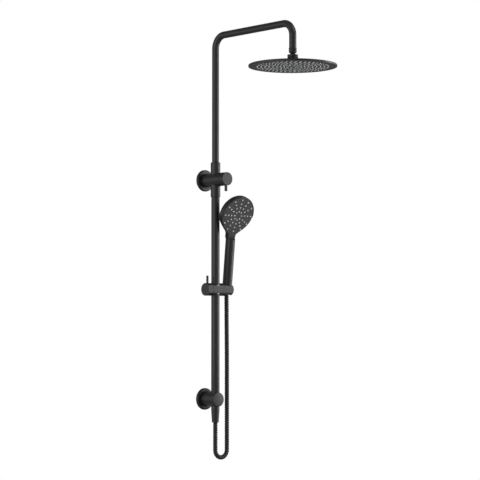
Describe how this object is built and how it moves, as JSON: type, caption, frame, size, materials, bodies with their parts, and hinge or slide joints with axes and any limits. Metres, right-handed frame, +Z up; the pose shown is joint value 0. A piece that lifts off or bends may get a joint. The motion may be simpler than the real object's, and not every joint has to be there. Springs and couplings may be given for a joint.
{
  "type": "shower column",
  "caption": "Wall-mounted matte black shower column: gooseneck arm with round rain head, diverter, riser rail, sliding holder with hand shower and hose.",
  "frame": {"origin": "centre of the upper wall flange's back face, on the wall plane, where the water supply comes in", "axes": "+Z up along the column, +Y into the wall, +X to the right as seen from the room"},
  "size_m": [0.255, 0.5185, 1.2803],
  "materials": {
    "matte_black": "satin matte black powder coat",
    "black_plastic": "satin black moulded plastic",
    "black_hose": "ribbed black hose",
    "nozzle_silicone": "soft grey silicone",
    "plain_brass": "machined",
    "stainless": "machined",
    "seal_rubber": "matte",
    "nylon": "moulded"
  },
  "bodies": {
    "column": {"upper_wall_flange": "matte_black", "inlet_bush": "plain_brass", "inlet_seal": "seal_rubber", "diverter_body": "matte_black", "diverter_cartridge": "nylon", "cartridge_nut": "plain_brass", "arm_lock_screw": "stainless", "rail_lock_screw": "stainless", "riser_rail": "matte_black", "rail_top_seal": "seal_rubber", "rail_foot_seal": "seal_rubber", "lower_wall_flange": "matte_black", "outlet_body": "matte_black", "outlet_end_cap": "matte_black", "end_cap_seal_ring": "seal_rubber", "lower_fixing_boss": "plain_brass", "lower_grub_screw": "stainless", "outlet_nipple": "plain_brass", "hose_outlet_nut": "matte_black", "hose_outlet_washer": "seal_rubber", "shower_hose": "black_hose"},
    "diverter_valve": {"diverter_rotor": "plain_brass", "rotor_seal_ring": "seal_rubber", "diverter_knob": "matte_black", "diverter_lever": "matte_black", "knob_grub_screw": "stainless"},
    "arm": {"overhead_arm": "matte_black", "arm_spigot": "plain_brass", "arm_seal_ring_lower": "seal_rubber", "arm_seal_ring_upper": "seal_rubber", "arm_end_fitting": "plain_brass", "arm_end_washer": "seal_rubber", "swivel_ball": "matte_black"},
    "head_seat": {"ball_seat_ring": "nylon"},
    "rain_head": {"ball_retaining_nut": "matte_black", "head_hub": "matte_black", "head_shell": "matte_black", "head_nozzle_mat": "nozzle_silicone", "head_face_plate": "matte_black"},
    "slider": {"slider_body": "matte_black", "slider_liner": "nylon", "clamp_pad": "nylon", "holder_pivot_pin": "stainless"},
    "clamp": {"clamp_knob": "matte_black", "clamp_lever": "matte_black", "clamp_screw": "stainless"},
    "holder": {"handset_holder": "matte_black", "holder_friction_washer": "stainless", "hose_holder_end": "black_hose"},
    "hose_nut": {"hose_cone_nut": "matte_black", "hose_cone_washer": "seal_rubber", "hose_nut_end": "black_hose"},
    "handset": {"handset_handle": "black_plastic", "handset_thread_insert": "plain_brass", "handset_flow_washer": "nylon", "handset_head_shell": "black_plastic", "handset_spray_former": "nylon", "handset_nozzle_mat": "nozzle_silicone", "handset_face_plate": "black_plastic"}
  },
  "joints": [
    {"name": "arm_swivel", "type": "hinge", "parent": "column", "child": "arm", "pos_m": [0, -0.052, 0.03], "axis": [0, 0, 1], "range_deg": [-60, 60]},
    {"name": "head_tilt_side", "type": "hinge", "parent": "arm", "child": "head_seat", "pos_m": [0, -0.391, 0.328], "axis": [0, 1, 0], "range_deg": [-10, 10]},
    {"name": "head_tilt_fore", "type": "hinge", "parent": "head_seat", "child": "rain_head", "pos_m": [0, -0.391, 0.328], "axis": [1, 0, 0], "range_deg": [-10, 10]},
    {"name": "diverter_turn", "type": "hinge", "parent": "column", "child": "diverter_valve", "pos_m": [0, -0.0966, 0], "axis": [0, -1, 0], "range_deg": [-90, 90]},
    {"name": "slider_slide", "type": "slide", "parent": "column", "child": "slider", "axis": [0, 0, 1], "range_m": [-0.22, 0.01], "deforming": ["shower_hose"]},
    {"name": "clamp_turn", "type": "hinge", "parent": "slider", "child": "clamp", "pos_m": [-0.0315, -0.052, -0.329], "axis": [1, 0, 0], "range_deg": [0, 60]},
    {"name": "holder_tilt", "type": "hinge", "parent": "slider", "child": "holder", "pos_m": [0.0457, -0.052, -0.329], "axis": [1, 0, 0], "range_deg": [0, 25], "deforming": ["hose_holder_end"]},
    {"name": "handset_lift", "type": "slide", "parent": "holder", "child": "hose_nut", "axis": [0, -0.1063, 0.9943], "range_m": [0, 0.03], "deforming": ["hose_nut_end"]},
    {"name": "handset_spin", "type": "hinge", "parent": "hose_nut", "child": "handset", "pos_m": [0.0457, -0.052, -0.329], "axis": [0, -0.1063, 0.9943], "range_deg": [0, 45]}
  ]
}
